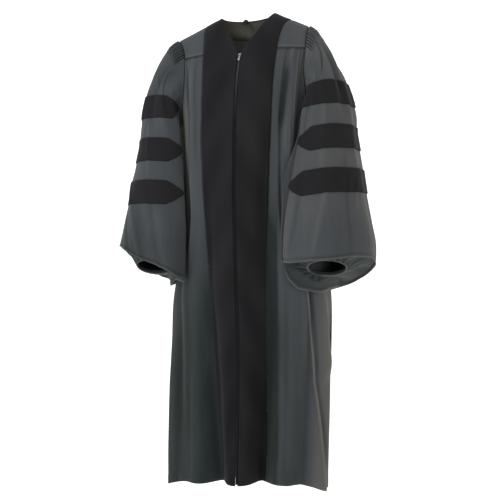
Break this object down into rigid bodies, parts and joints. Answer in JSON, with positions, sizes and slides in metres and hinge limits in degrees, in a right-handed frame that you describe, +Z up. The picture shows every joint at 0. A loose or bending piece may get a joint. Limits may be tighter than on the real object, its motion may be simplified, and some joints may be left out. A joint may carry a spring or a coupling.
{
  "type": "graduation gown",
  "caption": "Doctoral graduation gown filled out as worn: dark grey cloth, black velvet front facings and sleeve bars, bell sleeves, front zip.",
  "frame": {"origin": "midway between the two neck points, at the height where the shoulder seams meet the neck: the wearer's shoulders hold the gown up there", "axes": "+Z up, the front of the gown faces -Y, +X towards the wearer's left sleeve"},
  "size_m": [0.7472, 0.4282, 1.3881],
  "materials": {
    "grey_cloth": "matte",
    "black_velvet": "velvet",
    "zip_teeth": "matte",
    "zip_metal": "satin"
  },
  "bodies": {
    "gown": {"front_left": "grey_cloth", "front_right": "grey_cloth", "yoke_front_left": "grey_cloth", "yoke_front_right": "grey_cloth", "yoke_back": "grey_cloth", "back": "grey_cloth", "sleeve_left": "grey_cloth", "sleeve_right": "grey_cloth", "sleeve_return_left": "grey_cloth", "sleeve_return_right": "grey_cloth", "hanging_loop": "grey_cloth", "velvet_left": "black_velvet", "velvet_right": "black_velvet", "bar_left_1": "black_velvet", "bar_left_2": "black_velvet", "bar_left_3": "black_velvet", "bar_right_1": "black_velvet", "bar_right_2": "black_velvet", "bar_right_3": "black_velvet", "zip_chain": "zip_teeth", "zip_slider": "zip_metal"},
    "pull_tab": {"zip_pull": "zip_metal"}
  },
  "joints": [
    {"name": "pull_hinge", "type": "hinge", "parent": "gown", "child": "pull_tab", "pos_m": [0, -0.10314, -0.13441], "axis": [-1, 0, 0], "range_deg": [0, 150]}
  ]
}
